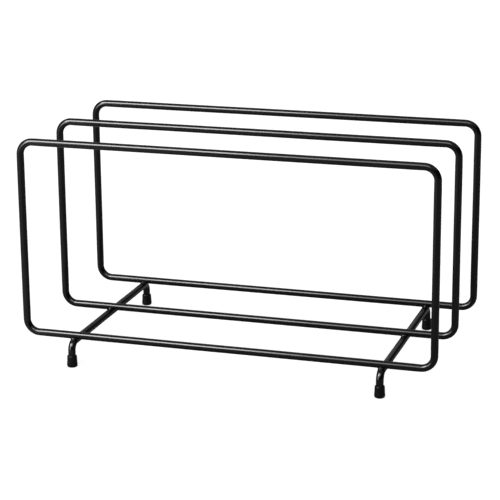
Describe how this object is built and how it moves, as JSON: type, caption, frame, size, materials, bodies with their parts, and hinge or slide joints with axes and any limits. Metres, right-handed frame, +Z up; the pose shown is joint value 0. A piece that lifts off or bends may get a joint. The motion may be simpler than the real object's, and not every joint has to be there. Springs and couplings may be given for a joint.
{
  "type": "magazine rack",
  "caption": "Free-standing magazine rack of black round wire: upright rectangular loops in a row, welded across base bars that turn down into short capped legs.",
  "frame": {"origin": "on the floor, under the middle of the rack", "axes": "+X along the loops, +Y from the front loop to the rear loop, +Z up"},
  "size_m": [0.36, 0.1898, 0.195],
  "materials": {
    "wire_paint": "black stove enamel on steel wire, semi-gloss",
    "foot_rubber": "black moulded rubber, matte"
  },
  "bodies": {
    "root": {"front_loop": "wire_paint", "middle_loop": "wire_paint", "rear_loop": "wire_paint", "left_base_bar": "wire_paint", "right_base_bar": "wire_paint", "weld_front_left": "wire_paint", "weld_front_right": "wire_paint", "weld_middle_left": "wire_paint", "weld_middle_right": "wire_paint", "weld_rear_left": "wire_paint", "weld_rear_right": "wire_paint", "front_left_foot_cap": "foot_rubber", "front_right_foot_cap": "foot_rubber", "rear_left_foot_cap": "foot_rubber", "rear_right_foot_cap": "foot_rubber"}
  },
  "joints": []
}
